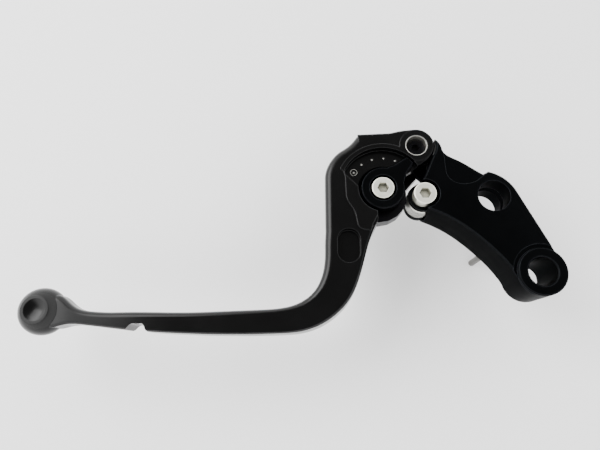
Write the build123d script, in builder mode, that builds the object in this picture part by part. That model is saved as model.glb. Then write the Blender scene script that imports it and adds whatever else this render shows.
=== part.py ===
# Adjustable clutch lever for a motorcycle: a machined blade hinged on an adapter, with a
# six-position cam adjuster that bears on a stop roller.
# Millimetres. +Z points up out of the flat face that carries the screw heads, +X from the finger
# ball towards the main pivot, +Y away from the handlebar. The origin is the middle of the main
# pivot bore.

from build123d import *
from math import cos, radians, sin
import os

os.makedirs("parts", exist_ok=True)

# ---------------------------------------------------------------- driving dimensions
# Axes, all parallel to Z
blade_pivot = (-41.9, 50.2)
adjuster_axis = (-55.5, 33.0)
roller_axis = (-39.8, 30.4)
nipple_axis = (-14.3, 29.0)
switch_pin_axis = (-15.2, 9.9)
ball_axis = (-187.0, -12.4)

# Adapter
adapter_half = 9.5
boss_half = 10.0
boss_radius = 8.8
groove_radius = 10.3
groove_depth = 0.8
pivot_bore_radius = 5.2
nipple_radius = 6.0
cable_slot = (-2.3, 1.3)
shoulder_radius = 7.6
edge_break = 0.5
code_pocket_depth = 0.8
switch_pin_radius = 1.3
switch_pin_seat = 1.6
switch_pin_depth = 8.0
switch_pin_tip = -25.0

# Stop roller and its ears
ear_radius = 5.5
ear_top = 4.7
roller_radius = 5.9
roller_top = 2.7
roller_foot = -3.7
spacer_foot = -6.7
roller_gap = 0.15

# Tongue, spigot and return spring round the blade pivot
tongue_low = -3.9
tongue_top = -1.6
tongue_radius = 6.6
spigot_radius = 4.3
spigot_top = 2.4
bearing_radius = 3.6
cup_radius = 4.3
cup_floor = 0.8
wire_radius = 0.55
coil_radius = 5.6
coil_pitch = 1.15
coil_turns = 2.25
spring_low = -0.68
leg_length = 6.5

# Blade
head_top = 8.6
dial_top = 9.3
head_bottom = -9.3
head_left = -77.7
head_foot = 18.0
head_corner = (-64.6, 55.6)
eye_radius = 7.1
neck_half = 4.8
arm_sections = 26
ball_radius = 9.1
ball_half = 6.8
finger_round = 2.8
grip_break = 0.8
fork_floor = -4.2
fork_roof = 2.8
fork_round = 8.2
cam_room = 13.4

# Adjuster
positions = 6
position_step = 20.0
swing_range = 7.5
hub_radius = 8.3
hub_top = 9.0
cam_top = 2.4
cam_bottom = -3.9
finger_angle = 46.0
finger_reach = 15.8
finger_low = 6.7
window_radius = 16.4
window_floor = 6.3
pocket_radius = 9.5
mark_circle = 13.1

# M5 hardware
shank_radius = 2.5
thread_radius = 2.52
clearance_radius = 2.6
head_radius = 4.25
head_height = 5.0
nut_across = 8.0


def polar(centre, radius, angle):
    """Point at a distance and an angle in degrees from a centre."""
    return (centre[0] + radius * cos(radians(angle)), centre[1] + radius * sin(radians(angle)))


def turned(point, centre, angle):
    """Point turned about a centre by an angle in degrees."""
    dx = point[0] - centre[0]
    dy = point[1] - centre[1]
    c = cos(radians(angle))
    s = sin(radians(angle))
    return (centre[0] + c * dx - s * dy, centre[1] + s * dx + c * dy)


def socket_screw(axis, seat, tip, head, radius, key):
    """Hexagon socket screw: its head stands on the seat height and its shank ends at the tip."""
    with BuildPart() as screw:
        with BuildSketch(Plane.XY.offset(seat)):
            with Locations(axis):
                Circle(radius)
        extrude(amount=head)
        fillet(screw.edges().group_by(Axis.Z)[-1], 0.4)
        with BuildSketch(Plane.XY.offset(tip)):
            with Locations(axis):
                Circle(shank_radius)
        extrude(amount=seat - tip)
        chamfer(screw.edges().group_by(Axis.Z)[0], 0.5)
        with BuildSketch(Plane.XY.offset(seat + head)):
            with Locations(axis):
                RegularPolygon(key / 2, 6, major_radius=False)
        extrude(amount=-0.55 * head, mode=Mode.SUBTRACT)
    return screw


def ring(axis, low, high, outer, inner):
    """Plain sleeve or washer between two heights."""
    with BuildPart() as sleeve:
        with BuildSketch(Plane.XY.offset(low)):
            with Locations(axis):
                Circle(outer)
                Circle(inner, mode=Mode.SUBTRACT)
        extrude(amount=high - low)
    return sleeve


def hex_nut(axis, low, high):
    """Hexagon nut with its bore a hair wider than the shank."""
    with BuildPart() as nut:
        with BuildSketch(Plane.XY.offset(low)):
            with Locations(axis):
                RegularPolygon(nut_across / 2, 6, major_radius=False)
                Circle(thread_radius, mode=Mode.SUBTRACT)
        extrude(amount=high - low)
    return nut


# ---------------------------------------------------------------- adapter
with BuildSketch() as adapter_outline:
    with BuildLine():
        shoulder_start = polar(blade_pivot, shoulder_radius, 18)
        shoulder_end = polar(blade_pivot, shoulder_radius, -36)
        bump_end = (-32.2, 48.0)
        ThreePointArc(shoulder_start, (-32.9, 50.6), bump_end)
        Spline(bump_end, (-26.7, 43.8), (-17.4, 37.7), tangents=[(0.5, -1.0), (1.0, -0.6)])
        Line((-17.4, 37.7), (-15.6, 38.7))
        ThreePointArc((-15.6, 38.7), (-9.6, 35.7), (-5.6, 30.4))
        Line((-5.6, 30.4), (5.56, 7.08))
        ThreePointArc((5.56, 7.08), polar((0, 0), boss_radius, -60), (-8.6, -2.65))
        Spline(
            (-8.6, -2.65), (-17.2, 9.2), (-28.0, 18.6), (-39.0, 24.4),
            tangents=[(-0.45, 1.0), (-1.0, 0.4)],
        )
        Polyline((-39.0, 24.4), (-40.8, 35.0), (-39.4, 37.6), shoulder_end)
        ThreePointArc(shoulder_end, polar(blade_pivot, shoulder_radius, -9), shoulder_start)
    make_face()

with BuildPart() as adapter:
    extrude(adapter_outline.sketch, amount=adapter_half, both=True)
    chamfer(adapter.edges().group_by(Axis.Z)[-1], edge_break)
    chamfer(adapter.edges().group_by(Axis.Z)[0], edge_break)

    # Main boss, standing proud inside a milled groove on both faces
    with BuildSketch(Plane.XY.offset(-adapter_half)):
        Circle(groove_radius)
    extrude(amount=groove_depth, mode=Mode.SUBTRACT)
    with BuildSketch(Plane.XY.offset(adapter_half)):
        Circle(groove_radius)
    extrude(amount=-groove_depth, mode=Mode.SUBTRACT)
    with BuildSketch(Plane.XY.offset(-boss_half)):
        Circle(boss_radius)
    extrude(amount=2 * boss_half)
    chamfer(adapter.edges().group_by(Axis.Z)[-1], 0.4)
    chamfer(adapter.edges().group_by(Axis.Z)[0], 0.4)
    with BuildSketch(Plane.XY.offset(-boss_half)):
        Circle(pivot_bore_radius)
    extrude(amount=2 * boss_half, mode=Mode.SUBTRACT)
    chamfer(adapter.edges().group_by(Axis.Z)[-1].sort_by(SortBy.LENGTH)[0], 0.4)
    chamfer(adapter.edges().group_by(Axis.Z)[0].sort_by(SortBy.LENGTH)[0], 0.4)

    # Shallow pocket in the upper face beside the shoulder
    with BuildSketch(Plane.XY.offset(adapter_half)):
        with BuildLine():
            Polyline((-15.6, 42.0), (-15.6, 38.4), (-18.6, 36.2))
            Spline((-18.6, 36.2), (-24.0, 33.9), (-29.0, 35.0), (-31.4, 39.0))
            Polyline((-31.4, 39.0), (-32.0, 52.0), (-15.6, 42.0))
        make_face()
    extrude(amount=-code_pocket_depth, mode=Mode.SUBTRACT)

    # Hole for the cable nipple, and the slot that lets the cable swing out of it
    with BuildSketch(Plane.XY.offset(-adapter_half)):
        with Locations(nipple_axis):
            Circle(nipple_radius)
    extrude(amount=2 * adapter_half, mode=Mode.SUBTRACT)
    with BuildSketch(Plane.XY.offset(cable_slot[0])):
        with BuildLine():
            slot_start = polar(nipple_axis, nipple_radius + 1.5, 150)
            slot_foot = polar(nipple_axis, nipple_radius + 1.5, 260)
            Polyline(slot_start, (-16.0, 46.0), (14.0, 30.0), (6.0, 17.0), slot_foot)
            ThreePointArc(slot_foot, polar(nipple_axis, nipple_radius + 1.5, 205), slot_start)
        make_face()
    extrude(amount=cable_slot[1] - cable_slot[0], mode=Mode.SUBTRACT)

    # Forked ears for the stop roller, the upper one milled down so that the screw head sits flush
    with BuildSketch(Plane.XY.offset(-adapter_half)):
        with Locations(roller_axis):
            Circle(ear_radius)
    extrude(amount=adapter_half + ear_top)
    with BuildSketch(Plane.XY.offset(ear_top)):
        with Locations(roller_axis):
            Circle(ear_radius + 0.1)
    extrude(amount=adapter_half, mode=Mode.SUBTRACT)
    with BuildSketch(Plane.XY.offset(spacer_foot)):
        with Locations(roller_axis):
            Circle(roller_radius + 0.7)
    extrude(amount=roller_top - spacer_foot, mode=Mode.SUBTRACT)
    with BuildSketch(Plane.XY.offset(roller_top)):
        with Locations(roller_axis):
            Circle(clearance_radius)
    extrude(amount=adapter_half, mode=Mode.SUBTRACT)
    with BuildSketch(Plane.XY.offset(-adapter_half)):
        with Locations(roller_axis):
            Circle(thread_radius)
    extrude(amount=adapter_half, mode=Mode.SUBTRACT)

    # Tongue between the blade's fork plates, with a spigot inside the return spring
    with BuildSketch(Plane.XY.offset(tongue_low)):
        with Locations(blade_pivot):
            Circle(tongue_radius)
        with BuildLine():
            Polyline(
                polar(blade_pivot, tongue_radius, 60),
                bump_end,
                (-30.0, 40.0),
                (-38.0, 38.5),
                polar(blade_pivot, tongue_radius, -100),
                close=True,
            )
        make_face()
    extrude(amount=tongue_top - tongue_low)
    with BuildSketch(Plane.XY.offset(tongue_top)):
        with Locations(blade_pivot):
            Circle(spigot_radius)
    extrude(amount=spigot_top - tongue_top)
    with BuildSketch(Plane.XY.offset(tongue_low)):
        with Locations(blade_pivot):
            Circle(bearing_radius + 0.02)
    extrude(amount=spigot_top - tongue_low, mode=Mode.SUBTRACT)

    # Hole for the fixed leg of the spring
    leg_start = polar(blade_pivot, coil_radius, 0)
    with BuildSketch(Plane(origin=(*leg_start, spring_low), z_dir=(0, -1, 0))):
        Circle(wire_radius + 0.25)
    extrude(amount=leg_length + 0.5, mode=Mode.SUBTRACT)

    # Blind hole for the switch pin
    with BuildSketch(Plane.XY.offset(-adapter_half)):
        with Locations(switch_pin_axis):
            Circle(switch_pin_seat + 0.01)
    extrude(amount=switch_pin_depth, mode=Mode.SUBTRACT)
adapter.part.label = "adapter"
export_step(adapter.part, "parts/adapter.step")

# Steel dowel that works the clutch switch
with BuildPart() as switch_pin:
    with BuildSketch(Plane.XY.offset(switch_pin_tip)):
        with Locations(switch_pin_axis):
            Circle(switch_pin_radius)
    extrude(amount=-adapter_half - switch_pin_tip)
    fillet(switch_pin.edges().group_by(Axis.Z)[0], 0.4)
    with BuildSketch(Plane.XY.offset(-adapter_half - 0.3)):
        with Locations(switch_pin_axis):
            Circle(switch_pin_seat)
    extrude(amount=switch_pin_depth + 0.2)
switch_pin.part.label = "switch_pin"
export_step(switch_pin.part, "parts/switch_pin.step")

# ---------------------------------------------------------------- blade
fork_side = -46.0

with BuildPart() as blade_head:
    # Finger side of the head plate, rounded over
    with BuildSketch(Plane.XY.offset(head_bottom)):
        with BuildLine():
            Polyline((-59.0, head_foot), (head_left, head_foot), (head_left, 37.7))
            Spline((head_left, 37.7), (-75.9, 44.2), (-71.0, 49.5), tangents=[(0.0, 1.0), (1.0, 0.62)])
            Spline((-71.0, 49.5), (-67.4, 52.2), head_corner, tangents=[(1.0, 0.62), (1.0, 1.2)])
            Line(head_corner, (-59.0, head_foot))
        make_face()
    extrude(amount=head_top - head_bottom)
    rims = ShapeList(blade_head.edges().group_by(Axis.Z)[-1] + blade_head.edges().group_by(Axis.Z)[0])
    rims = rims.filter_by(lambda e: (e @ 0.5).Y > head_foot + 0.1)
    fillet(rims.filter_by(lambda e: (e @ 0.5).X < -71.5), finger_round)

    # The rest of the head plate, out to the eye, with its edges just broken
    with BuildSketch(Plane.XY.offset(head_bottom)):
        with BuildLine():
            eye_start = polar(blade_pivot, eye_radius, 95)
            eye_end = polar(blade_pivot, eye_radius, fork_side)
            Line(head_corner, (-53.0, 55.9))
            Spline((-53.0, 55.9), (-47.8, 56.8), eye_start, tangents=[(1.0, 0.02), (1.0, 0.09)])
            ThreePointArc(eye_start, polar(blade_pivot, eye_radius, 25), eye_end)
            Polyline(eye_end, (-45.2, 35.8), (-46.4, 31.6), (-56.7, 22.6), (-59.0, head_foot), head_corner)
        make_face()
    extrude(amount=head_top - head_bottom)
    rims = ShapeList(blade_head.edges().group_by(Axis.Z)[-1] + blade_head.edges().group_by(Axis.Z)[0])
    chamfer(rims.filter_by(lambda e: (e @ 0.5).X > -60 and (e @ 0.5).Y > 47), edge_break)

    # Raised dial plate round the adjuster
    with BuildSketch(Plane.XY.offset(head_top - 1)):
        with BuildLine():
            dial_start = polar(adjuster_axis, window_radius + 1.7, 152)
            dial_end = polar(adjuster_axis, window_radius + 1.7, 62)
            ThreePointArc(dial_start, polar(adjuster_axis, window_radius + 1.7, 105), dial_end)
            Polyline(dial_end, (-45.0, 45.0), adjuster_axis, (-57.6, 23.0), (-60.0, 18.5), (-60.6, 16.2))
            Spline((-60.6, 16.2), (-64.3, 17.1), (-65.6, 19.0), tangents=[(-1.0, 0.25), (-0.2, 1.0)])
            Spline((-65.6, 19.0), (-67.2, 25.1), (-69.6, 30.2), tangents=[(-0.1, 1.0), (-0.1, 1.0)])
            Line((-69.6, 30.2), (-69.8, 37.8))
            Spline((-69.8, 37.8), (-70.7, 40.2), dial_start, tangents=[(-0.5, 1.0), (0.4, 1.0)])
        make_face()
        with Locations(blade_pivot):
            Circle(eye_radius - 0.6)
    extrude(amount=dial_top - head_top + 1)

    # Fork gap for the tongue, the spring and the cam
    with BuildSketch(Plane.XY.offset(fork_floor)):
        with Locations(blade_pivot):
            Circle(fork_round)
        with Locations(adjuster_axis):
            Circle(cam_room)
        Polygon(
            polar(blade_pivot, fork_round, 165),
            polar(adjuster_axis, cam_room, 95),
            adjuster_axis,
            polar(adjuster_axis, cam_room, -75),
            (-30.0, 15.0),
            (-25.0, 62.0),
            polar(blade_pivot, fork_round, 90),
            align=None,
        )
    extrude(amount=fork_roof - fork_floor, mode=Mode.SUBTRACT)

    # Round pocket for the adjuster hub, open towards the adapter
    with BuildSketch(Plane.XY.offset(fork_roof)):
        with Locations(adjuster_axis):
            Circle(pocket_radius)
        Polygon(
            adjuster_axis,
            polar(adjuster_axis, 30, 33),
            (-15.0, 10.0),
            (-57.4, 10.0),
            polar(adjuster_axis, pocket_radius, -105),
            align=None,
        )
        with Locations(blade_pivot):
            Circle(eye_radius, mode=Mode.SUBTRACT)
    extrude(amount=dial_top, mode=Mode.SUBTRACT)

    # Window that the finger sweeps, with six position marks on its floor
    with BuildSketch(Plane.XY.offset(window_floor)) as window:
        with BuildLine():
            window_start = polar(adjuster_axis, window_radius, 157)
            window_end = polar(adjuster_axis, window_radius, 15)
            ThreePointArc(window_start, polar(adjuster_axis, window_radius, 90), window_end)
            Polyline(window_end, adjuster_axis, polar(adjuster_axis, pocket_radius, 176), window_start)
        make_face()
        fillet(window.vertices().sort_by(Axis.X)[0], 2.5)
    extrude(amount=dial_top - window_floor, mode=Mode.SUBTRACT)
    with BuildSketch(Plane.XY.offset(window_floor)):
        with Locations([
            polar(adjuster_axis, mark_circle, finger_angle + position_step * n) for n in range(positions)
        ]):
            Circle(0.55)
    extrude(amount=-0.3, mode=Mode.SUBTRACT)

    # Seat for the pivot cup, and bolt holes with nut pockets through the lower plate
    with BuildSketch(Plane.XY.offset(fork_roof)):
        with Locations(blade_pivot):
            Circle(cup_radius + 0.02)
    extrude(amount=dial_top, mode=Mode.SUBTRACT)
    with BuildSketch(Plane.XY.offset(head_bottom)):
        with Locations(blade_pivot, adjuster_axis):
            Circle(clearance_radius)
    extrude(amount=fork_floor - head_bottom, mode=Mode.SUBTRACT)
    with BuildSketch(Plane.XY.offset(head_bottom)):
        with Locations(blade_pivot, adjuster_axis):
            RegularPolygon(nut_across / 2 + 0.08, 6, major_radius=False)
    extrude(amount=3.2, mode=Mode.SUBTRACT)

    # Notch that the moving leg of the spring pushes on
    notch_angle = 360 * coil_turns % 360 + 56
    notch_centre = polar(blade_pivot, coil_radius + 3.4, notch_angle)
    notch_low = spring_low + coil_pitch * coil_turns - 0.8
    with BuildSketch(Plane.XY.offset(notch_low)):
        with Locations(notch_centre):
            Rectangle(3.4, 5.4, rotation=notch_angle)
    extrude(amount=fork_roof - notch_low, mode=Mode.SUBTRACT)

# Stations along the arm: a point on the finger side, one on the handlebar side, and the heights
# of the upper and lower face there
arm_stations = [
    ((-184.0, -7.4), (-184.0, -17.4), 4.2, -4.2),
    ((-177.6, -7.7), (-177.6, -18.1), neck_half, -neck_half),
    ((-174.0, -10.6), (-174.0, -17.5), neck_half, -neck_half),
    ((-169.5, -12.2), (-169.5, -17.7), neck_half, -neck_half),
    ((-152.0, -13.0), (-152.0, -19.7), 5.4, -5.4),
    ((-130.0, -13.3), (-130.0, -21.2), 6.1, -6.1),
    ((-108.0, -12.7), (-108.0, -21.6), 6.6, -6.6),
    ((-95.5, -12.1), (-97.0, -21.4), 6.9, -6.9),
    ((-88.2, -10.3), (-84.4, -20.0), 7.1, -7.2),
    ((-82.7, -6.5), (-74.4, -14.7), 7.5, -7.7),
    ((-79.4, -0.8), (-68.2, -7.6), 8.0, -8.4),
    ((-78.1, 6.5), (-64.2, 2.6), 8.4, -9.0),
    ((head_left, head_foot), (-59.0, head_foot), head_top, head_bottom),
]

# Smooth lines through the stations' corners, then evenly spaced sections between them
middles = [Vector((f[0] + b[0]) / 2, (f[1] + b[1]) / 2) for f, b, top, bottom in arm_stations]
travelled = [0.0]
for near, far in zip(middles, middles[1:]):
    travelled.append(travelled[-1] + (far - near).length)
stops = [distance / travelled[-1] for distance in travelled]
finger_line = Edge.make_spline([Vector(*f, top) for f, b, top, bottom in arm_stations], parameters=stops)
bar_line = Edge.make_spline([Vector(*b, bottom) for f, b, top, bottom in arm_stations], parameters=stops)

with BuildPart() as blade:
    for section in range(arm_sections + 1):
        finger = finger_line @ (section / arm_sections)
        bar = bar_line @ (section / arm_sections)
        across = Vector(bar.X - finger.X, bar.Y - finger.Y, 0)
        width = across.length
        top = finger.Z
        bottom = bar.Z
        flat = Plane(origin=(finger.X, finger.Y, 0), x_dir=across, z_dir=across.cross(Vector(0, 0, 1)))
        with BuildSketch(flat):
            with BuildLine():
                Line((0, bottom + finger_round), (0, top - finger_round))
                RadiusArc((0, top - finger_round), (finger_round, top), finger_round)
                Polyline(
                    (finger_round, top),
                    (width - grip_break, top),
                    (width, top - grip_break),
                    (width, bottom + grip_break),
                    (width - grip_break, bottom),
                    (finger_round, bottom),
                )
                RadiusArc((finger_round, bottom), (0, bottom + finger_round), finger_round)
            make_face()
    loft()
    add(blade_head.part)

    # Finger ball with a dished face on each side
    with BuildSketch(Plane(origin=(*ball_axis, 0), x_dir=(-1, 0, 0), z_dir=(0, 1, 0))):
        with BuildLine():
            Polyline((5.4, ball_half), (0, ball_half), (0, -ball_half), (5.4, -ball_half))
            ThreePointArc((5.4, -ball_half), (ball_radius, 0), (5.4, ball_half))
        make_face()
    revolve(axis=Axis((*ball_axis, 0), (0, 0, 1)))
    with Locations((*ball_axis, ball_half + 8.3), (*ball_axis, -ball_half - 8.3)):
        Sphere(9.3, mode=Mode.SUBTRACT)

    # Break-away notch across the handlebar side of the arm
    with BuildSketch(Plane.XY.offset(-head_top)):
        with BuildLine():
            Spline((-153.6, -19.9), (-151.6, -18.6), (-149.6, -17.4), tangents=[(1, 0.1), (1, 0.1)])
            Line((-149.6, -17.4), (-146.2, -17.5))
            Spline((-146.2, -17.5), (-145.2, -18.6), (-143.9, -20.4), tangents=[(0.8, -0.3), (1, -0.3)])
            Polyline((-143.9, -20.4), (-143.9, -26.0), (-153.6, -26.0), (-153.6, -19.9))
        make_face()
    extrude(amount=2 * head_top, mode=Mode.SUBTRACT)

    # Oval recess in the face of the upright
    with BuildSketch(Plane.XY.offset(5.6)):
        with Locations((-69.0, 10.7)):
            SlotOverall(13.0, 8.6, rotation=90)
    extrude(amount=dial_top, mode=Mode.SUBTRACT)
blade.part.label = "blade"
export_step(blade.part, "parts/blade.step")

# ---------------------------------------------------------------- blade pivot
# Steel cup pressed in the upper plate, the screw's head sits in it
with BuildPart() as pivot_cup:
    with BuildSketch(Plane.XY.offset(fork_roof)):
        with Locations(blade_pivot):
            Circle(cup_radius)
    extrude(amount=dial_top - 0.4 - fork_roof)
    with BuildSketch(Plane.XY.offset(fork_roof + cup_floor)):
        with Locations(blade_pivot):
            Circle(cup_radius - 0.28)
    extrude(amount=dial_top, mode=Mode.SUBTRACT)
    with BuildSketch(Plane.XY.offset(fork_roof)):
        with Locations(blade_pivot):
            Circle(clearance_radius)
    extrude(amount=cup_floor, mode=Mode.SUBTRACT)
pivot_cup.part.label = "pivot_cup"
export_step(pivot_cup.part, "parts/pivot_cup.step")

pivot_screw = socket_screw(blade_pivot, fork_roof + cup_floor, head_bottom + 0.5, 2.5, 3.8, 3.0)
pivot_screw.part.label = "pivot_screw"
export_step(pivot_screw.part, "parts/pivot_screw.step")

pivot_nut = hex_nut(blade_pivot, head_bottom + 0.3, head_bottom + 3.15)
pivot_nut.part.label = "pivot_nut"
export_step(pivot_nut.part, "parts/pivot_nut.step")

pivot_bearing = ring(blade_pivot, tongue_low, spigot_top, bearing_radius, shank_radius + 0.05)
pivot_bearing.part.label = "pivot_bearing"
export_step(pivot_bearing.part, "parts/pivot_bearing.step")

upper_thrust_washer = ring(blade_pivot, spigot_top + 0.05, fork_roof - 0.05, 4.9, shank_radius + 0.08)
upper_thrust_washer.part.label = "upper_thrust_washer"
export_step(upper_thrust_washer.part, "parts/upper_thrust_washer.step")

lower_thrust_washer = ring(blade_pivot, fork_floor + 0.03, tongue_low - 0.02, 5.6, shank_radius + 0.08)
lower_thrust_washer.part.label = "lower_thrust_washer"
export_step(lower_thrust_washer.part, "parts/lower_thrust_washer.step")

# Torsion spring: the coil stands round the spigot, one leg in the adapter, one on the blade
with BuildPart() as return_spring:
    with BuildLine(Plane(origin=(*blade_pivot, spring_low))) as coil:
        Helix(coil_pitch, coil_pitch * coil_turns, coil_radius)
    with BuildSketch(Plane(origin=coil.line @ 0, z_dir=coil.line % 0)):
        Circle(wire_radius)
    sweep(path=coil.line)
    with BuildSketch(Plane(origin=coil.line @ 0, z_dir=coil.line % 0)):
        Circle(wire_radius)
    extrude(amount=-leg_length)
    with BuildSketch(Plane(origin=coil.line @ 1, z_dir=coil.line % 1)):
        Circle(wire_radius)
    extrude(amount=leg_length)
return_spring.part.label = "return_spring"
export_step(return_spring.part, "parts/return_spring.step")

# ---------------------------------------------------------------- adjuster
with BuildPart() as adjuster_dial:
    with BuildSketch(Plane.XY.offset(cam_top + 0.05)):
        with Locations(adjuster_axis):
            Circle(hub_radius)
    extrude(amount=hub_top - cam_top - 0.05)
    # Finger that the rider turns it by
    with BuildSketch(Plane.XY.offset(finger_low)) as finger_shape:
        Polygon(
            polar(adjuster_axis, hub_radius - 0.2, finger_angle + 34),
            polar(adjuster_axis, 11.2, finger_angle + 14),
            polar(adjuster_axis, finger_reach, finger_angle + 6.5),
            polar(adjuster_axis, finger_reach, finger_angle - 6.5),
            polar(adjuster_axis, 11.0, finger_angle - 14),
            polar(adjuster_axis, hub_radius - 0.2, finger_angle - 36),
            polar(adjuster_axis, 4.0, finger_angle),
            align=None,
        )
        tips = finger_shape.vertices().filter_by(
            lambda v: (Vector(*v) - Vector(*adjuster_axis)).length > 10
        )
        fillet(tips, 0.9)
    extrude(amount=hub_top - finger_low)
    chamfer(adjuster_dial.edges().group_by(Axis.Z)[-1], 0.35)
    # Counterbore for the screw head, and the drive tongue that keys it to the cam
    with BuildSketch(Plane.XY.offset(3.6)):
        with Locations(adjuster_axis):
            Circle(5.2)
    extrude(amount=hub_top, mode=Mode.SUBTRACT)
    with BuildSketch(Plane.XY.offset(cam_top - 2.0)):
        with Locations(adjuster_axis):
            Circle(5.4)
            Rectangle(8.4, 20, mode=Mode.INTERSECT)
    extrude(amount=2.05)
    with BuildSketch(Plane.XY.offset(cam_bottom)):
        with Locations(adjuster_axis):
            Circle(3.65)
    extrude(amount=hub_top - cam_bottom, mode=Mode.SUBTRACT)
adjuster_dial.part.label = "adjuster_dial"
export_step(adjuster_dial.part, "parts/adjuster_dial.step")


def roller_seen_by_cam(turn):
    """Centre of the stop roller in the cam's own frame when the dial is turned by so much."""
    swing = -swing_range * turn / (position_step * (positions - 1))
    return turned(turned(roller_axis, blade_pivot, -swing), adjuster_axis, -turn)


def cam_corner(turn):
    """Point of the cam just clear of the roller, on the line between the two axes."""
    centre = Vector(*roller_seen_by_cam(turn))
    hub = Vector(*adjuster_axis)
    reach = (centre - hub).length - roller_radius - roller_gap
    return hub + (centre - hub).normalized() * reach


# Cam with one flat per position, each flat between two corners half a step either side
with BuildPart() as adjuster_cam:
    with BuildSketch(Plane.XY.offset(cam_bottom)):
        with BuildLine():
            corners = [cam_corner(position_step * (n - 0.5)) for n in range(positions + 1)]
            Polyline(*corners)
            Spline(
                corners[-1],
                polar(adjuster_axis, 10.0, -158),
                polar(adjuster_axis, 8.3, 150),
                polar(adjuster_axis, 8.3, 75),
                corners[0],
            )
        make_face()
    extrude(amount=cam_top - cam_bottom)
    with BuildSketch(Plane.XY.offset(cam_bottom)):
        with Locations(adjuster_axis):
            Circle(3.65)
    extrude(amount=cam_top - cam_bottom, mode=Mode.SUBTRACT)
    with BuildSketch(Plane.XY.offset(cam_top - 2.05)):
        with Locations(adjuster_axis):
            Circle(5.45)
            Rectangle(8.46, 20, mode=Mode.INTERSECT)
    extrude(amount=2.05, mode=Mode.SUBTRACT)
adjuster_cam.part.label = "adjuster_cam"
export_step(adjuster_cam.part, "parts/adjuster_cam.step")

adjuster_sleeve = ring(adjuster_axis, fork_floor, 4.1, 3.6, thread_radius)
adjuster_sleeve.part.label = "adjuster_sleeve"
export_step(adjuster_sleeve.part, "parts/adjuster_sleeve.step")

adjuster_spring_washer = ring(adjuster_axis, 3.65, 4.05, 4.9, 3.68)
adjuster_spring_washer.part.label = "adjuster_spring_washer"
export_step(adjuster_spring_washer.part, "parts/adjuster_spring_washer.step")

adjuster_screw = socket_screw(adjuster_axis, 4.1, head_bottom + 0.5, head_height, head_radius, 4.0)
adjuster_screw.part.label = "adjuster_screw"
export_step(adjuster_screw.part, "parts/adjuster_screw.step")

adjuster_nut = hex_nut(adjuster_axis, head_bottom + 0.3, head_bottom + 3.15)
adjuster_nut.part.label = "adjuster_nut"
export_step(adjuster_nut.part, "parts/adjuster_nut.step")

# ---------------------------------------------------------------- stop roller
roller_screw = socket_screw(roller_axis, ear_top, -adapter_half, head_height, head_radius, 4.0)
roller_screw.part.label = "roller_screw"
export_step(roller_screw.part, "parts/roller_screw.step")

with BuildPart() as stop_roller:
    with BuildSketch(Plane.XY.offset(roller_foot + 0.1)):
        with Locations(roller_axis):
            Circle(roller_radius)
    extrude(amount=roller_top - roller_foot - 0.2)
    chamfer(stop_roller.edges(), 0.35)
    with BuildSketch(Plane.XY.offset(roller_foot)):
        with Locations(roller_axis):
            Circle(3.35)
    extrude(amount=roller_top - roller_foot, mode=Mode.SUBTRACT)
stop_roller.part.label = "stop_roller"
export_step(stop_roller.part, "parts/stop_roller.step")

roller_sleeve = ring(roller_axis, roller_foot, roller_top, 3.3, thread_radius)
roller_sleeve.part.label = "roller_sleeve"
export_step(roller_sleeve.part, "parts/roller_sleeve.step")

roller_spacer = ring(roller_axis, spacer_foot, roller_foot, 5.3, thread_radius)
roller_spacer.part.label = "roller_spacer"
export_step(roller_spacer.part, "parts/roller_spacer.step")
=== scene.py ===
# Adjustable clutch lever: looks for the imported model, in metres and in the CAD's own frame.
import bpy
from math import cos, pi, radians, sin, sqrt
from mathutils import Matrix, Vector


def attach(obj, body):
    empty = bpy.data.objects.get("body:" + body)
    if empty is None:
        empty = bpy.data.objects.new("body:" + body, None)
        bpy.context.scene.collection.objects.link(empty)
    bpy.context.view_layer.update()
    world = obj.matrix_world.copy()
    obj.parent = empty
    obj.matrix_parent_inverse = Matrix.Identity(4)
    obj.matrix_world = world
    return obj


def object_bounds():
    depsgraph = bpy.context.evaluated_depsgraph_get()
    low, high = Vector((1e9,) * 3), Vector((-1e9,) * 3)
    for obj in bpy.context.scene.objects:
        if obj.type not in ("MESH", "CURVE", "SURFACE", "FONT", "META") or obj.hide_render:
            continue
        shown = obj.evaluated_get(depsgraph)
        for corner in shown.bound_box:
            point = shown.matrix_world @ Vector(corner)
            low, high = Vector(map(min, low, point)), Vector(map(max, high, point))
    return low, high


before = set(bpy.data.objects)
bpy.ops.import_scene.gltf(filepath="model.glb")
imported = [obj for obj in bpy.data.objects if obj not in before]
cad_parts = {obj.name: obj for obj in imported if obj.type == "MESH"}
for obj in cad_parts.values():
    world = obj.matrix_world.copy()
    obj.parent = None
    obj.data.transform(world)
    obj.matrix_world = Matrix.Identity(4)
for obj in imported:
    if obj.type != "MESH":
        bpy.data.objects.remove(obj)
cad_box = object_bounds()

# ---------------------------------------------------------------- blade
# The blade is milled from 6000-series aluminium bar, polished and bright-dipped, then anodised and
# dyed black. The eye sees a deep black under a hard clear oxide: tight highlights, the faintest
# waviness left by the cutter, and edges a little greyer where the oxide is thin.
mm = 0.001
edge_samples = 6


def linear(colour):
    """sRGB hex to linear RGBA."""
    parts = [int(colour[i:i + 2], 16) / 255 for i in (1, 3, 5)]
    plain = [c / 12.92 if c <= 0.04045 else ((c + 0.055) / 1.055) ** 2.4 for c in parts]
    return (*plain, 1.0)


def add_node(tree, kind, inputs=None, **settings):
    """Adds a node, sets its properties, and sets or links its inputs."""
    node = tree.nodes.new(kind)
    for name, value in settings.items():
        setattr(node, name, value)
    for name, value in (inputs or {}).items():
        if isinstance(value, bpy.types.NodeSocket):
            tree.links.new(value, node.inputs[name])
        else:
            node.inputs[name].default_value = value
    return node


def new_material(name):
    """Empty node material with its node tree."""
    material = bpy.data.materials.new(name)
    material.use_nodes = True
    material.node_tree.nodes.clear()
    return material, material.node_tree


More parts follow.
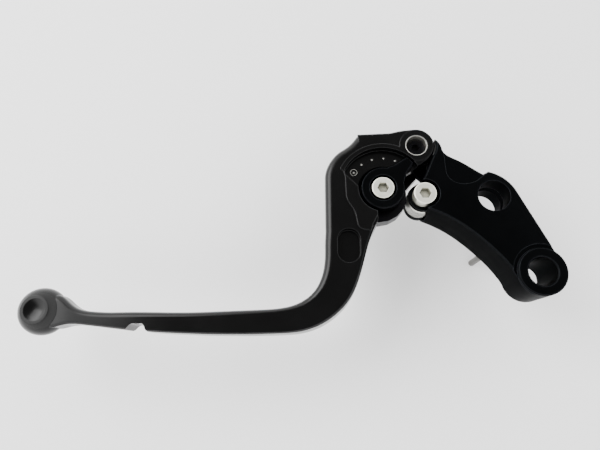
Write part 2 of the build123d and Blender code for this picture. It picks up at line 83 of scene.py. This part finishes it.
def finish_material(tree, shader):
    """Joins a shader to the material's output."""
    add_node(tree, "ShaderNodeOutputMaterial", {"Surface": shader.outputs["BSDF"]})


def dress(material, *nodes):
    """Gives CAD nodes a material."""
    for name in nodes:
        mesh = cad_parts[name].data
        mesh.materials.clear()
        mesh.materials.append(material)


def noise(tree, place, size, detail, roughness=0.5):
    """Noise whose patches are about the given real size."""
    return add_node(tree, "ShaderNodeTexNoise", {"Vector": place.outputs["Object"],
                    "Scale": 1 / size, "Detail": detail, "Roughness": roughness})


def spread(tree, value, low, high):
    """Turns the middle of a noise into a range of values."""
    return add_node(tree, "ShaderNodeMapRange", {"Value": value, "From Min": 0.3,
                    "From Max": 0.7, "To Min": low, "To Max": high})


def blend_colours(tree, factor, first, second):
    """Mixes two colours, each a hex value or a socket."""
    first, second = (linear(c) if isinstance(c, str) else c for c in (first, second))
    return add_node(tree, "ShaderNodeMix", {0: factor, 6: first, 7: second},
                    data_type="RGBA").outputs[2]


def worn_edge(tree, radius):
    """Softened normal, and how much a point lies on an edge of the given radius."""
    soft = add_node(tree, "ShaderNodeBevel", {"Radius": radius}, samples=edge_samples)
    geometry = add_node(tree, "ShaderNodeNewGeometry")
    facing = add_node(tree, "ShaderNodeVectorMath", {0: soft.outputs["Normal"],
                      1: geometry.outputs["Normal"]}, operation="DOT_PRODUCT")
    edge = add_node(tree, "ShaderNodeMapRange", {"Value": facing.outputs["Value"],
                    "From Min": 0.999, "From Max": 0.86, "To Min": 0.0, "To Max": 1.0})
    return soft.outputs["Normal"], edge.outputs["Result"]


blade_black = "#030303"
blade_edge = "#141516"
blade_edge_radius = 0.35 * mm
handling_size = 18 * mm
gloss_low = 0.16
gloss_high = 0.26
mill_spacing = 1.2697 * mm
mill_depth = 0.02 * mm
band_repeat = 2 * pi / (10 * sqrt(3))

gloss, tree = new_material("anodised_aluminium_polished_black")
place = add_node(tree, "ShaderNodeTexCoord")
normal, edge = worn_edge(tree, blade_edge_radius)
handling = noise(tree, place, handling_size, 4.0, 0.6)
lines = add_node(tree, "ShaderNodeTexWave", {"Vector": place.outputs["Object"],
                 "Scale": band_repeat / mill_spacing, "Distortion": 1.5, "Detail": 2.0},
                 wave_type="BANDS", bands_direction="DIAGONAL")
skin = add_node(tree, "ShaderNodeBump", {"Height": lines.outputs["Fac"], "Strength": 0.02,
                "Distance": mill_depth, "Normal": normal})
shade = blend_colours(tree, edge, blade_black, blade_edge)
dull = spread(tree, handling.outputs["Fac"], gloss_low, gloss_high)
shader = add_node(tree, "ShaderNodeBsdfPrincipled", {"Base Color": shade,
                  "Roughness": dull.outputs["Result"], "Normal": skin.outputs["Normal"],
                  "Metallic": 0.0, "IOR": 1.6, "Specular IOR Level": 0.16})
finish_material(tree, shader)
dress(gloss, "blade")

# ---------------------------------------------------------------- adapter and dial
# The adapter and the dial are milled from the same bar, fine bead-blasted and anodised black: a
# satin black with a soft wide sheen and a barely visible grain.
satin_black = "#0d0e0f"
satin_edge = "#2b2d30"
satin_edge_radius = 0.3 * mm
bead_size = 0.18 * mm
bead_depth = 0.03 * mm
rubbed_size = 14 * mm
satin_low = 0.34
satin_high = 0.44
glancing_tint = (0.48, 0.48, 0.48, 1.0)

satin, tree = new_material("anodised_aluminium_bead_blasted_black")
place = add_node(tree, "ShaderNodeTexCoord")
normal, edge = worn_edge(tree, satin_edge_radius)
grain = noise(tree, place, bead_size, 2.0)
rubbed = noise(tree, place, rubbed_size, 4.0, 0.6)
blast = add_node(tree, "ShaderNodeBump", {"Height": grain.outputs["Fac"], "Strength": 0.12,
                 "Distance": bead_depth, "Normal": normal})
shade = blend_colours(tree, edge, satin_black, satin_edge)
dull = spread(tree, rubbed.outputs["Fac"], satin_low, satin_high)
shader = add_node(tree, "ShaderNodeBsdfPrincipled", {"Base Color": shade,
                  "Roughness": dull.outputs["Result"], "Normal": blast.outputs["Normal"],
                  "Metallic": 1.0, "Specular Tint": glancing_tint})
finish_material(tree, shader)
dress(satin, "adapter", "adjuster_dial")

# ---------------------------------------------------------------- turned hardware
# Screws, sleeves, rollers, cup and dowel are turned from steel bar, and the bushes are sintered
# bronze. Each reads as cloudy metal with painted shade darkening its corners, and a faint waviness
# in spherical shells about 1 mm apart round a point on its own axis, hardly seen on an end face.
adjuster_axis = (-55.5, 33.0)
roller_axis = (-39.8, 30.4)
blade_pivot = (-41.9, 50.2)
switch_axis = (-15.2, 9.9)
shell_repeat = pi / 10
coarse_shells = 1.0053 * mm
middle_shells = 0.8796 * mm
fine_shells = 0.754 * mm
turned_edge_radius = 0.2 * mm
turned_depth = 0.02 * mm
cloud_size = 3 * mm
corner_reach = 2.5 * mm
# Colour of the painted shade that darkens the corners and recesses of the turned parts.
corner_shade_colour = "#1c1b18"


def turned_metal(name, colour, shadow, roughness, centre, spacing, corner_shade_strength):
    """Lathe-turned metal, wavy round its own vertical axis, with painted shade darkening its
    corners.
    """
    material, tree = new_material(name)
    place = add_node(tree, "ShaderNodeTexCoord")
    centred = add_node(tree, "ShaderNodeMapping", {"Vector": place.outputs["Object"],
                       "Location": (-centre[0] * mm, -centre[1] * mm, 0.0)})
    shells = add_node(tree, "ShaderNodeTexWave", {"Vector": centred.outputs["Vector"],
                      "Scale": shell_repeat / spacing, "Distortion": 0.4, "Detail": 1.0},
                      wave_type="RINGS", rings_direction="SPHERICAL")
    cloud = noise(tree, place, cloud_size, 5.0, 0.65)
    soft = add_node(tree, "ShaderNodeBevel", {"Radius": turned_edge_radius}, samples=edge_samples)
    bump = add_node(tree, "ShaderNodeBump", {"Height": shells.outputs["Fac"], "Strength": 0.10,
                    "Distance": turned_depth, "Normal": soft.outputs["Normal"]})
    tint = blend_colours(tree, cloud.outputs["Fac"], colour, shadow)
    dull = spread(tree, cloud.outputs["Fac"], roughness * 0.85, roughness * 1.2)
    # Painted shade: ambient occlusion darkens corners and recesses towards the corner shade
    # colour.
    open_sky = add_node(tree, "ShaderNodeAmbientOcclusion", {"Distance": corner_reach},
                        samples=8)
    corner = add_node(tree, "ShaderNodeMapRange", {"Value": open_sky.outputs["AO"],
                      "From Min": 0.85, "From Max": 0.35, "To Min": 0.0, "To Max": corner_shade_strength})
    corner_shaded = blend_colours(tree, corner.outputs["Result"], tint, corner_shade_colour)
    shader = add_node(tree, "ShaderNodeBsdfPrincipled", {"Base Color": corner_shaded, "Metallic": 1.0,
                      "Roughness": dull.outputs["Result"], "Normal": bump.outputs["Normal"]})
    finish_material(tree, shader)
    return material


# The seventh column sets how strongly painted shade darkens each part's corners.
for material_name, colour, shadow, roughness, centre, spacing, corner_shade_strength, pieces in (
    ("stainless_steel_turned_at_adjuster", "#fbfaee", "#ecebdc", 0.42, adjuster_axis,
     coarse_shells, 0.9, ("adjuster_screw", "adjuster_sleeve", "adjuster_spring_washer")),
    ("stainless_steel_turned_at_roller", "#fbfaee", "#ecebdc", 0.42, roller_axis,
     coarse_shells, 0.9, ("roller_screw",)),
    ("hardened_steel_ground_roller", "#b9b8b2", "#a09f99", 0.28, roller_axis,
     fine_shells, 0.5, ("stop_roller", "roller_spacer")),
    ("stainless_steel_turned_cup", "#f0efe8", "#dddcd4", 0.35, blade_pivot,
     middle_shells, 0.0, ("pivot_cup",)),
    # Painted shade: the pivot screw is coloured near black to stand for the shade inside the
    # silver pivot cup.
    ("near_black_screw_painted_shade", "#1b1b1d", "#141416", 0.36, blade_pivot,
     coarse_shells, 0.3, ("pivot_screw",)),
    ("sintered_bronze_bush", "#b08a4e", "#8d6c3a", 0.38, blade_pivot,
     middle_shells, 0.4, ("pivot_bearing", "upper_thrust_washer", "lower_thrust_washer")),
    ("sintered_bronze_roller_bush", "#b08a4e", "#8d6c3a", 0.38, roller_axis,
     middle_shells, 0.4, ("roller_sleeve",)),
    ("silver_steel_ground_dowel", "#6f6e6a", "#5c5b57", 0.4, switch_axis,
     fine_shells, 0.3, ("switch_pin",)),
):
    dress(turned_metal(material_name, colour, shadow, roughness, centre, spacing, corner_shade_strength),
          *pieces)

# ---------------------------------------------------------------- cam, nuts and spring
# The cam is case-hardened steel with ground flats, blackened with oxide, so it reads near black.
# The nuts are zinc-plated and the spring is drawn wire: both read as a grey, cloudy steel.
hardware_edge_radius = 0.2 * mm
grain_depth = 0.02 * mm

for material_name, colour, shadow, roughness, grain_size, pieces in (
    ("black_oxide_steel_ground_cam", "#2a2a2c", "#1a1a1c", 0.32, 0.6 * mm, ("adjuster_cam",)),
    ("zinc_plated_steel_nut", "#bfc1c2", "#9fa2a5", 0.34, 0.8 * mm, ("pivot_nut", "adjuster_nut")),
    ("drawn_spring_steel_wire", "#a5a4a2", "#7e7d7b", 0.3, 0.5 * mm, ("return_spring",)),
):
    material, tree = new_material(material_name)
    place = add_node(tree, "ShaderNodeTexCoord")
    cloud = noise(tree, place, grain_size, 5.0, 0.6)
    soft = add_node(tree, "ShaderNodeBevel", {"Radius": hardware_edge_radius},
                    samples=edge_samples)
    bump = add_node(tree, "ShaderNodeBump", {"Height": cloud.outputs["Fac"], "Strength": 0.15,
                    "Distance": grain_depth, "Normal": soft.outputs["Normal"]})
    tint = blend_colours(tree, cloud.outputs["Fac"], colour, shadow)
    shader = add_node(tree, "ShaderNodeBsdfPrincipled", {"Base Color": tint,
                      "Metallic": 1.0, "Roughness": roughness, "Normal": bump.outputs["Normal"]})
    finish_material(tree, shader)
    dress(material, *pieces)

# ---------------------------------------------------------------- position marks
# Six shallow dimples in the dial window, one per setting, each hold a low lens of light grey that
# is painted highlight, standing for the glints on the engraved setting marks. A lens is narrower
# than its dimple, and a thin raised line of the same painted highlight rings the far setting.
mark_radius = 0.36 * mm
mark_flatness = 0.35
mark_height = 6.04 * mm
mark_circle = 13.1 * mm
first_mark = radians(46.0)
mark_step = radians(20.0)
mark_count = 6
ring_radius = 1.3 * mm
ring_line = 0.09 * mm
window_floor = 6.3 * mm
peel_size = 0.3 * mm
peel_depth = 0.02 * mm
paint_light = "#a3a39d"
paint_dark = "#85857f"

# Painted highlight: the light grey fill stands for glints on the engraved setting marks.
mark_highlight, tree = new_material("painted_highlight_in_marks")
place = add_node(tree, "ShaderNodeTexCoord")
peel = noise(tree, place, peel_size, 3.0)
skin = add_node(tree, "ShaderNodeBump", {"Height": peel.outputs["Fac"], "Strength": 0.2,
                "Distance": peel_depth})
tone = blend_colours(tree, peel.outputs["Fac"], paint_light, paint_dark)
shader = add_node(tree, "ShaderNodeBsdfPrincipled", {"Base Color": tone,
                  "Roughness": 0.45, "Normal": skin.outputs["Normal"]})
finish_material(tree, shader)

tree = bpy.data.node_groups.new("marks_round_an_axis", "GeometryNodeTree")
tree.is_modifier = True
for socket_name, kind in (("Count", "NodeSocketInt"), ("Circle", "NodeSocketFloat"),
                          ("Radius", "NodeSocketFloat"), ("First", "NodeSocketFloat"),
                          ("Step", "NodeSocketFloat"), ("Centre", "NodeSocketVector"),
                          ("Ring", "NodeSocketFloat"), ("Line", "NodeSocketFloat"),
                          ("Ringed", "NodeSocketVector")):
    tree.interface.new_socket(socket_name, in_out="INPUT", socket_type=kind)
tree.interface.new_socket("Geometry", in_out="OUTPUT", socket_type="NodeSocketGeometry")
given = add_node(tree, "NodeGroupInput")
row = add_node(tree, "GeometryNodeMeshLine", {"Count": given.outputs["Count"]})
index = add_node(tree, "GeometryNodeInputIndex")
turn = add_node(tree, "ShaderNodeMath", {0: index.outputs["Index"], 1: given.outputs["Step"],
                2: given.outputs["First"]}, operation="MULTIPLY_ADD")
across = add_node(tree, "ShaderNodeMath", {0: turn.outputs[0]}, operation="COSINE")
along = add_node(tree, "ShaderNodeMath", {0: turn.outputs[0]}, operation="SINE")
way = add_node(tree, "ShaderNodeCombineXYZ", {"X": across.outputs[0], "Y": along.outputs[0]})
arm = add_node(tree, "ShaderNodeVectorMath", {0: way.outputs[0]}, operation="SCALE")
tree.links.new(given.outputs["Circle"], arm.inputs["Scale"])
spot = add_node(tree, "ShaderNodeVectorMath", {0: arm.outputs[0], 1: given.outputs["Centre"]},
                operation="ADD")
placed = add_node(tree, "GeometryNodeSetPosition", {"Geometry": row.outputs["Mesh"],
                  "Position": spot.outputs[0]})
lens = add_node(tree, "GeometryNodeMeshUVSphere", {"Segments": 24, "Rings": 12,
                "Radius": given.outputs["Radius"]})
flat = add_node(tree, "GeometryNodeTransform", {"Geometry": lens.outputs["Mesh"],
                "Scale": (1.0, 1.0, mark_flatness)})
copies = add_node(tree, "GeometryNodeInstanceOnPoints", {"Points": placed.outputs["Geometry"],
                  "Instance": flat.outputs["Geometry"]})
loop = add_node(tree, "GeometryNodeCurvePrimitiveCircle", {"Resolution": 48,
                "Radius": given.outputs["Ring"]})
line = add_node(tree, "GeometryNodeCurvePrimitiveCircle", {"Resolution": 8,
                "Radius": given.outputs["Line"]})
hoop = add_node(tree, "GeometryNodeCurveToMesh", {"Curve": loop.outputs["Curve"],
                "Profile Curve": line.outputs["Curve"]})
moved = add_node(tree, "GeometryNodeTransform", {"Geometry": hoop.outputs["Mesh"],
                 "Translation": given.outputs["Ringed"]})
joined = add_node(tree, "GeometryNodeJoinGeometry", {"Geometry": copies.outputs["Instances"]})
tree.links.new(moved.outputs["Geometry"], joined.inputs["Geometry"])
real = add_node(tree, "GeometryNodeRealizeInstances", {"Geometry": joined.outputs["Geometry"]})
painted = add_node(tree, "GeometryNodeSetMaterial", {"Geometry": real.outputs["Geometry"],
                   "Material": mark_highlight})
add_node(tree, "NodeGroupOutput", {"Geometry": painted.outputs["Geometry"]})

centre = Vector((adjuster_axis[0] * mm, adjuster_axis[1] * mm, mark_height))
last_mark = first_mark + (mark_count - 1) * mark_step
ringed = Vector((centre.x + mark_circle * cos(last_mark),
                 centre.y + mark_circle * sin(last_mark), window_floor))
sizes = {"Count": mark_count, "Circle": mark_circle, "Radius": mark_radius, "First": first_mark,
         "Step": mark_step, "Centre": centre, "Ring": ring_radius, "Line": ring_line,
         "Ringed": ringed}
maker = bpy.data.objects.new("marks_maker", bpy.data.meshes.new("marks_maker"))
bpy.context.collection.objects.link(maker)
modifier = maker.modifiers.new("marks", "NODES")
modifier.node_group = tree
for item in tree.interface.items_tree:
    if item.in_out == "INPUT":
        modifier[item.identifier] = sizes[item.name]
bpy.context.view_layer.update()
depsgraph = bpy.context.evaluated_depsgraph_get()
mesh = bpy.data.meshes.new_from_object(maker.evaluated_get(depsgraph))
bpy.data.objects.remove(maker)
marks = bpy.data.objects.new("position_marks", mesh)
bpy.context.collection.objects.link(marks)
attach(marks, "blade")

# ---------------------------------------------------------------- floor, light and camera
# Plain white sweep just under the dowel's tip, inside a light tent that is brightest low down all
# round and dim overhead, so that the black faces stay dark. One soft key lamp stands at the ball's
# side, and the camera a little to the handlebar side of straight above.
floor_gap = 0.4 * mm
floor_reach = 4.0
fibre_scale = 900.0
paper_white = "#fbfbfb"
paper_shade = "#f7f7f7"
tent_dim = 0.5
tent_bright = 4.6
lamp_size = 0.5
lamp_energy = 5.0
lamp_place = (-0.55, 0.25, 0.45)
lamp_target = Vector((-0.09, 0.015, 0.0))
camera_place = (-0.07854, -0.03232, 0.193)
camera_tilt = radians(15.436)
camera_roll = radians(2.7214)
lens_length = 30.42
sensor_width = 36.0
nearest_view = 0.01

floor_height = cad_box[0][2] - floor_gap
mesh = bpy.data.meshes.new("floor")
corners = ((-1, -1), (1, -1), (1, 1), (-1, 1))
mesh.from_pydata([(x * floor_reach, y * floor_reach, floor_height) for x, y in corners],
                 [], [(0, 1, 2, 3)])
floor = bpy.data.objects.new("floor", mesh)
bpy.context.collection.objects.link(floor)
paper, tree = new_material("white_paper_sweep")
place = add_node(tree, "ShaderNodeTexCoord")
fibre = add_node(tree, "ShaderNodeTexNoise", {"Vector": place.outputs["Object"],
                 "Scale": fibre_scale})
tone = blend_colours(tree, fibre.outputs["Fac"], paper_white, paper_shade)
shader = add_node(tree, "ShaderNodeBsdfPrincipled", {"Base Color": tone,
                  "Roughness": 0.9, "Specular IOR Level": 0.1})
finish_material(tree, shader)
mesh.materials.append(paper)

world = bpy.data.worlds.new("studio")
world.use_nodes = True
tree = world.node_tree
tree.nodes.clear()
place = add_node(tree, "ShaderNodeTexCoord")
height = add_node(tree, "ShaderNodeSeparateXYZ", {"Vector": place.outputs["Generated"]})
tent = add_node(tree, "ShaderNodeMapRange", {"Value": height.outputs["Z"], "From Min": 0.86,
                "From Max": 0.62, "To Min": tent_dim, "To Max": tent_bright},
                interpolation_type="SMOOTHSTEP")
sky = add_node(tree, "ShaderNodeBackground", {"Strength": tent.outputs["Result"]})
add_node(tree, "ShaderNodeOutputWorld", {"Surface": sky.outputs["Background"]})
bpy.context.scene.world = world

light = bpy.data.lights.new("key", "AREA")
light.size = lamp_size
light.energy = lamp_energy
lamp = bpy.data.objects.new("key", light)
lamp.location = lamp_place
lamp.rotation_euler = (lamp_target - lamp.location).to_track_quat("-Z", "Y").to_euler()
bpy.context.collection.objects.link(lamp)

camera_data = bpy.data.cameras.new("camera")
camera_data.sensor_width = sensor_width
camera_data.lens = lens_length
camera_data.clip_start = nearest_view
camera = bpy.data.objects.new("camera", camera_data)
camera.location = camera_place
camera.rotation_euler = (camera_tilt, camera_roll, 0.0)
bpy.context.collection.objects.link(camera)
bpy.context.scene.camera = camera
